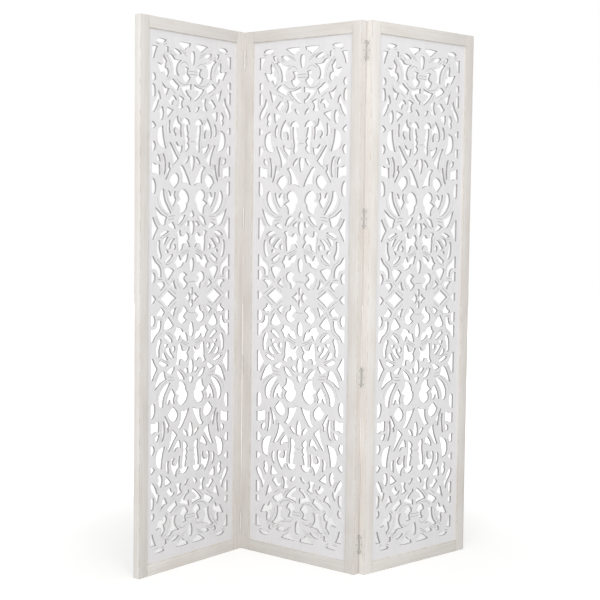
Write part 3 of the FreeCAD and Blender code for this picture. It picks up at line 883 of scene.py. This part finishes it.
# The upright arris that each stile's hinges turn on: its side and its face
HINGED = {
    ("left", "right_stile"): (1, -1), ("centre", "left_stile"): (-1, -1),
    ("centre", "right_stile"): (1, 1), ("right", "left_stile"): (-1, 1),
}
# The left stile's outer side is painted lighter than the rest: painted light, where the lamps fall on it
PALE_EDGE = ("left", "left_stile")
PALE_EDGE_PAINTED_LIGHT = 1.13
chance = np.random.default_rng(11)


def frame_member(panel, part):
    """A stile or rail: the CAD solid's shape with its arrises rubbed round."""
    node = panel + "_panel_" + part
    mesh = frame["nodes"][node].data.copy()
    mesh.transform(PLACES[panel].inverted())
    side, turned_face = HINGED.get((panel, part), (0, 0))

    def on_hinged_arris(edge):
        return side and all(v.co.x * side > HALF_WIDTH - SLACK
                            and v.co.y * turned_face > HALF_THICKNESS - SLACK for v in edge.verts)

    with reworked(mesh) as work:
        bmesh.ops.remove_doubles(work, verts=work.verts, dist=SLACK / 2)
        bmesh.ops.dissolve_limit(work, angle_limit=math.radians(FLAT_TURN), verts=work.verts,
                                 edges=work.edges)
        sharp = [e for e in work.edges if e.calc_face_angle(0.0) > ARRIS_TURN and not on_hinged_arris(e)]
        bmesh.ops.bevel(work, geom=sharp, offset=ARRIS_ROUND, segments=SOFT_SEGMENTS, affect="EDGES",
                        clamp_overlap=True, profile=ARRIS_PROFILE)
    shade_by_angle(mesh, FRAME_SHARP)
    middle, half = MEMBERS[part]
    spots = spots_of(mesh) - np.array(middle)
    half = np.tile(half, (len(spots), 1))
    if "rail" in part:
        # the grain runs along the piece, so a rail's length takes the place of its height
        spots, half = spots[:, [2, 1, 0]], half[:, [2, 1, 0]]
    note(mesh, "spot", spots)
    note(mesh, "half", half)
    note(mesh, "place", spots + chance.uniform(-GRAIN_SHIFT, GRAIN_SHIFT, 3))
    painted_light_tone = np.full(len(spots), PAINTED_LIGHT_TONES.get((panel, part), 1.0))
    # painted light on the stile's outer side
    if (panel, part) == PALE_EDGE:
        painted_light_tone[spots[:, 0] < SLACK - half[:, 0]] = PALE_EDGE_PAINTED_LIGHT
    note(mesh, "painted_light_tone", painted_light_tone)
    note(mesh, "hinged", np.tile((side, turned_face, 0), (len(spots), 1)))
    stand(mesh, panel + "_" + part + "_wood", panel, FRAME_WOOD, "frame_wood", node)


def carved_board(panel, carved):
    mesh = carved.copy()
    note(mesh, "place", spots_of(mesh) + chance.uniform(-GRAIN_SHIFT, GRAIN_SHIFT, 3))
    note(mesh, "painted_light_tone", np.full(len(mesh.vertices), PAINTED_LIGHT_TONES.get((panel, "fret"), 1.0)))
    stand(mesh, panel + "_carved_fret", panel, FRET_WOOD, "fret_wood", panel + "_panel_fret")


carved = fret_mesh()
shade_by_angle(carved, FRET_SHARP)
for panel in PLACES:
    carved_board(panel, carved)
    for part in MEMBERS:
        frame_member(panel, part)


# Hinges, drawn at a panel's right-hand edge and on its front face, and mirrored to where they belong

HOUSING_RADIUS = BARREL_RADIUS + BARREL_CLEARANCE
CLEAR_OF_BARREL = HOUSING_RADIUS - PIN_OUT
LEAF_END = LEAF_WIDTH - HALF_THICKNESS
TAB_END = (BARREL_RADIUS + PIN_RADIUS) / 2 - PIN_OUT
LEAF_CORNER = 3.0
CORNER_STEPS = 4
ROLL_SHARE = 0.97
ROLL_RADIUS = ROLL_SHARE * BARREL_RADIUS
BORE_GAP = 0.05
LATHE_SIDES = 28
SOFT = 0.35
RIM_TURN = 1.2        # edges that turn more than this are eased, in radians
KNUCKLE_HEIGHT = (HINGE_HEIGHT - (KNUCKLES - 1) * KNUCKLE_GAP) / KNUCKLES
KNUCKLE_PITCH = KNUCKLE_HEIGHT + KNUCKLE_GAP
FIXED_KNUCKLES = (0, KNUCKLES - 1)
MOVING_KNUCKLES = tuple(range(1, KNUCKLES - 1))
SCREW_SHARES = ((0.35, 0.14), (0.62, 0.5), (0.35, 0.86))


def lathe(work, inner, radius, low, high):
    """A rod about the hinge's pin, or a tube where inner isn't 0, with its rims eased."""
    profile = [(inner, low), (radius - SOFT, low), (radius, low + SOFT), (radius, high - SOFT),
               (radius - SOFT, high), (inner, high)]
    turns = [2 * math.pi * k / LATHE_SIDES for k in range(LATHE_SIDES)]
    rings = []
    for reach, height in profile:
        if reach == 0:
            rings.append([work.verts.new((PIN_ACROSS, -PIN_OUT, height))] * LATHE_SIDES)
            continue
        rings.append([work.verts.new((PIN_ACROSS + reach * math.cos(a), -PIN_OUT + reach * math.sin(a),
                                      height)) for a in turns])
    for lower, upper in zip(rings, rings[1:] + (rings[:1] if inner else [])):
        for k in range(LATHE_SIDES):
            after = (k + 1) % LATHE_SIDES
            corners = [lower[k], lower[after], upper[after], upper[k]]
            corners = [v for i, v in enumerate(corners) if v not in corners[:i]]
            work.faces.new(corners)


def leaf_outline(own):
    """The leaf laid flat, as (depth, height): round at its far corners, with a tab for each knuckle."""
    outline = []
    for height, first in ((LEAF_CORNER, -90), (HINGE_HEIGHT - LEAF_CORNER, 0)):
        for k in range(CORNER_STEPS + 1):
            a = math.radians(first + 90 * k / CORNER_STEPS)
            outline.append((LEAF_END - LEAF_CORNER + LEAF_CORNER * math.cos(a),
                            height + LEAF_CORNER * math.sin(a)))
    tabs = []
    for number in sorted(own, reverse=True):
        low = number * KNUCKLE_PITCH
        high = low + KNUCKLE_HEIGHT
        tabs += [(CLEAR_OF_BARREL, high), (TAB_END, high), (TAB_END, low), (CLEAR_OF_BARREL, low)]
    if 0 in own:
        return outline + tabs[1:-1]
    return outline + [(CLEAR_OF_BARREL, HINGE_HEIGHT)] + tabs + [(CLEAR_OF_BARREL, 0)]


def hinge_leaf(own):
    """A leaf with its rolled knuckles."""
    work = bmesh.new()
    inner = HALF_WIDTH - LEAF_THICKNESS
    flat = work.faces.new([work.verts.new((inner, y, z)) for y, z in leaf_outline(own)])
    grown = bmesh.ops.extrude_face_region(work, geom=[flat])["geom"]
    raised = [v for v in grown if isinstance(v, bmesh.types.BMVert)]
    bmesh.ops.translate(work, verts=raised, vec=(LEAF_THICKNESS, 0, 0))
    bmesh.ops.recalc_face_normals(work, faces=work.faces)
    rims = [e for e in work.edges if e.calc_face_angle(0.0) > RIM_TURN]
    bmesh.ops.bevel(work, geom=rims, offset=SOFT, segments=SOFT_SEGMENTS, affect="EDGES", clamp_overlap=True)
    for number in own:
        low = number * KNUCKLE_PITCH
        lathe(work, PIN_RADIUS + BORE_GAP, ROLL_RADIUS, low, low + KNUCKLE_HEIGHT)
    return work


def hinge_pin():
    work = bmesh.new()
    lathe(work, 0, PIN_RADIUS, 0, HINGE_HEIGHT)
    return work


def hung(work, side, face, foot):
    """A hinge part mirrored to its edge and face, at its height, with its painted shade noted."""
    mesh = bpy.data.meshes.new("hinge")
    # painted shade: more the farther a point lies from the pin towards the seat, none along the leaf beyond
    painted_seat_shade = [(v.co.y + PIN_OUT) / BARREL_RADIUS if v.co.y < TAB_END + PIN_RADIUS else -1.0 for v in work.verts]
    bmesh.ops.transform(work, matrix=Matrix.Diagonal((side, -face, 1, 1)), verts=work.verts)
    bmesh.ops.translate(work, verts=work.verts, vec=(0, 0, foot))
    bmesh.ops.recalc_face_normals(work, faces=work.faces)
    work.to_mesh(mesh)
    work.free()
    note(mesh, "painted_seat_shade", painted_seat_shade)
    shade_by_angle(mesh, METAL_SHARP)
    return mesh


# Screw heads, in metres
HEAD_RADIUS = 2.6 * MM
HEAD_HEIGHT = 0.5 * MM
SLOT_WIDTH = 0.8 * MM
SLOT_REACH = 1.6 * MM
SLOT_FLOOR = 0.05 * MM
HEAD_SIDES = 20


def screw_head():
    """A flat crosshead, facing +Z about the origin, with the cross sunk into it."""
    work = bmesh.new()
    turns = [2 * math.pi * k / HEAD_SIDES for k in range(HEAD_SIDES)]
    rim = [(HEAD_RADIUS * math.cos(a), HEAD_RADIUS * math.sin(a)) for a in turns]
    half_slot = SLOT_WIDTH / 2
    cross, arm = [], [(SLOT_REACH, -half_slot), (SLOT_REACH, half_slot), (half_slot, half_slot)]
    for _ in range(4):
        cross += arm
        arm = [(-y, x) for x, y in arm]

    def ring(points, height):
        return [work.verts.new((x, y, height)) for x, y in points]

    def wall(high, low):
        for i in range(len(high)):
            work.faces.new((high[i - 1], high[i], low[i], low[i - 1]))

    top_rim, top_cross = ring(rim, HEAD_HEIGHT / 2), ring(cross, HEAD_HEIGHT / 2)
    foot, floor_cross = ring(rim, -HEAD_HEIGHT / 2), ring(cross, SLOT_FLOOR)
    wall(top_rim, foot)
    wall(top_cross, floor_cross)
    work.faces.new(foot)
    work.faces.new(floor_cross)
    top = set(top_rim + top_cross)
    bmesh.ops.triangle_fill(work, edges=[e for e in work.edges if set(e.verts) <= top], use_beauty=True)
    bmesh.ops.recalc_face_normals(work, faces=work.faces)
    mesh = bpy.data.meshes.new("screw head")
    work.to_mesh(mesh)
    work.free()
    return bpy.data.objects.new("screw head", mesh)


def screw_tree():
    """Screws on the points of a carrier, each facing the way that its point says."""
    tree, n, take, end = group(
        "Hinge screws",
        [("Geometry", "NodeSocketGeometry", None), ("Head", "NodeSocketObject", None),
         ("Head scale", FLOAT, 1.0), ("Metal", "NodeSocketMaterial", None)],
        [("Geometry", "NodeSocketGeometry")], "GeometryNodeTree")
    head = n.add("GeometryNodeObjectInfo", {"Object": take["Head"]}).outputs["Geometry"]
    facing = n.add("GeometryNodeInputNamedAttribute", {"Name": "facing"}, data_type="FLOAT_VECTOR").outputs[0]
    spin = n.add("GeometryNodeInputNamedAttribute", {"Name": "spin"}, data_type="FLOAT").outputs[0]
    aligned = n.add("FunctionNodeAlignRotationToVector", {"Vector": facing}, axis="Z").outputs[0]
    own_turn = n.add("FunctionNodeAxisAngleToRotation", {"Angle": spin}).outputs[0]
    turned = n.add("FunctionNodeRotateRotation", {"Rotation": aligned, "Rotate By": own_turn},
                   rotation_space="LOCAL").outputs[0]
    spread = n.add("GeometryNodeInstanceOnPoints",
                   {"Points": take["Geometry"], "Instance": head, "Rotation": turned,
                    "Scale": take["Head scale"]}).outputs[0]
    real = n.add("GeometryNodeRealizeInstances", {"Geometry": spread}).outputs[0]
    coated = n.add("GeometryNodeSetMaterial", {"Geometry": real, "Material": take["Metal"]}).outputs[0]
    n.set(end, "Geometry", coated)
    return tree


def screws(panel, seats, tree, head):
    """One body's screws, on seats given as a place and a facing in the panel's millimetres."""
    place = PLACES[panel]
    carrier = plain_mesh("screw seats", [place @ Vector(spot) for spot, facing in seats], [])
    turn = place.to_3x3().normalized()
    note(carrier, "facing", [tuple(turn @ Vector(facing)) for spot, facing in seats])
    note(carrier, "spin", chance.uniform(0, math.pi, len(seats)))
    holder = put("screw seats", carrier)
    modifier = holder.modifiers.new("screws", "NODES")
    modifier.node_group = tree
    given = {"Head": head, "Metal": SCREW_METAL}
    for item in tree.interface.items_tree:
        if item.in_out == "INPUT" and item.name in given:
            modifier[item.identifier] = given[item.name]
    ready = holder.evaluated_get(bpy.context.evaluated_depsgraph_get())
    mesh = bpy.data.meshes.new_from_object(ready)
    bpy.data.objects.remove(holder)
    mesh.transform(place.inverted())
    shade_by_angle(mesh, METAL_SHARP)
    stand(mesh, panel + "_hinge_screws", panel, SCREW_METAL, "hinge_metal")


SCREW_SINK = 0.05
seats = {panel: [] for panel in PLACES}
for joint, panel, side, face in (("left", "left", -1, -1), ("right", "right", 1, 1)):
    for number, share in enumerate(HINGE_HEIGHT_SHARES, 1):
        foot = PANEL_HEIGHT * share - HINGE_HEIGHT / 2
        name = joint + "_hinge_" + str(number)
        for kind, owner, edge, part in (("_fixed_leaf", "centre", side, hinge_leaf(FIXED_KNUCKLES)),
                                        ("_moving_leaf", panel, -side, hinge_leaf(MOVING_KNUCKLES)),
                                        ("_pin", "centre", side, hinge_pin())):
            mesh = hung(part, edge, face, foot)
            stand(mesh, name + kind + "_steel", owner, HINGE_METAL, "hinge_metal", name + kind)
            if kind == "_pin":
                continue
            for across, up in SCREW_SHARES:
                depth = CLEAR_OF_BARREL + across * (LEAF_END - CLEAR_OF_BARREL)
                spot = (edge * (HALF_WIDTH - SCREW_SINK), -face * depth, foot + up * HINGE_HEIGHT)
                seats[owner].append((spot, (edge, 0, 0)))
tree = screw_tree()
head = screw_head()
for panel, spots in seats.items():
    screws(panel, spots, tree, head)
bpy.data.objects.remove(head)


# Stage

SHADOW_REACH = (0.5, 2.5)      # where the floor's shadow begins to fade and where it is gone, in metres
FLOOR_GLOW = (0.38, 1.0)       # the floor's own light in the shadow and beyond it


def white_floor():
    """A white floor that keeps a faint shadow near the screen and is plain white farther off."""
    material, n, shader = new_material("white floor")
    shader.inputs["Base Color"].default_value = linear(225, 225, 224)
    shader.inputs["Roughness"].default_value = 0.9
    shader.inputs["Specular IOR Level"].default_value = 0.1
    place = n.add("ShaderNodeTexCoord").outputs["Object"]
    away = n.add("ShaderNodeVectorMath", {0: place}, operation="LENGTH").outputs["Value"]
    seen = n.add("ShaderNodeLightPath").outputs["Is Camera Ray"]
    glow = n.add("ShaderNodeEmission", {"Color": (1, 1, 1, 1)})
    n.set(glow, "Strength", n.maths("MULTIPLY", seen, n.band(away, *SHADOW_REACH, *FLOOR_GLOW)))
    both = n.add("ShaderNodeAddShader", {0: shader.outputs[0], 1: glow.outputs[0]})
    n.set(material.node_tree.nodes["Material Output"], "Surface", both.outputs[0])
    return material


FLOOR_REACH = 12.0
corners = [(-FLOOR_REACH, -FLOOR_REACH, 0), (FLOOR_REACH, -FLOOR_REACH, 0),
           (FLOOR_REACH, FLOOR_REACH, 0), (-FLOOR_REACH, FLOOR_REACH, 0)]
floor = put("floor", plain_mesh("floor", corners, [(0, 1, 2, 3)]))
floor.data.materials.append(white_floor())

world = bpy.data.worlds.new("studio")
bpy.context.scene.world = world
world.use_nodes = True
n = Nodes(world.node_tree)
back = world.node_tree.nodes["Background"]
back.inputs["Color"].default_value = (1, 1, 1, 1)
ray = n.add("ShaderNodeLightPath").outputs
seen = n.maths("MAXIMUM", ray["Is Glossy Ray"], ray["Is Transmission Ray"])
seen = n.maths("MAXIMUM", ray["Is Camera Ray"], seen)
WORLD_LIGHT = 0.58
n.set(back, "Strength", n.maths("ADD", WORLD_LIGHT, n.maths("MULTIPLY", seen, 1 - WORLD_LIGHT)))


def soft_lamp(name, place, aim, width, height, watts):
    lamp = bpy.data.lights.new(name, "AREA")
    lamp.shape = "RECTANGLE"
    lamp.size, lamp.size_y = width, height
    lamp.energy = watts
    piece = put(name, lamp)
    piece.location = place
    piece.rotation_euler = (Vector(aim) - Vector(place)).to_track_quat("-Z", "Y").to_euler()


soft_lamp("front_softbox", (0.1, -4.4, 2.3), (0, 0, 0.9), 3.6, 2.6, 105)
soft_lamp("top_softbox", (0.0, -2.2, 4.2), (0, 0, 1.0), 3.2, 2.2, 12)

# Camera: its place in metres, its turns in degrees, and its focal length in picture widths
CAMERA = (-0.083191, -4.181470, 1.184269)
PITCH, ROLL, YAW = 3.97462, 0.68607, 0.71617
FOCAL_WIDTHS = 1253.152 / 600


def look():
    camera = bpy.data.cameras.new("camera")
    camera.lens = camera.sensor_width * FOCAL_WIDTHS
    piece = put("camera", camera)
    pitch, roll, yaw = (math.radians(v) for v in (PITCH, ROLL, YAW))
    forward = Vector((math.sin(yaw) * math.cos(pitch), math.cos(yaw) * math.cos(pitch), -math.sin(pitch)))
    level = Vector((math.cos(yaw), -math.sin(yaw), 0))
    upright = level.cross(forward)
    right = level * math.cos(roll) + upright * math.sin(roll)
    up = upright * math.cos(roll) - level * math.sin(roll)
    turn = Matrix((right, up, -forward)).transposed().to_4x4()
    piece.matrix_world = Matrix.Translation(CAMERA) @ turn
    bpy.context.scene.camera = piece


look()
bpy.context.scene.view_settings.view_transform = "Standard"
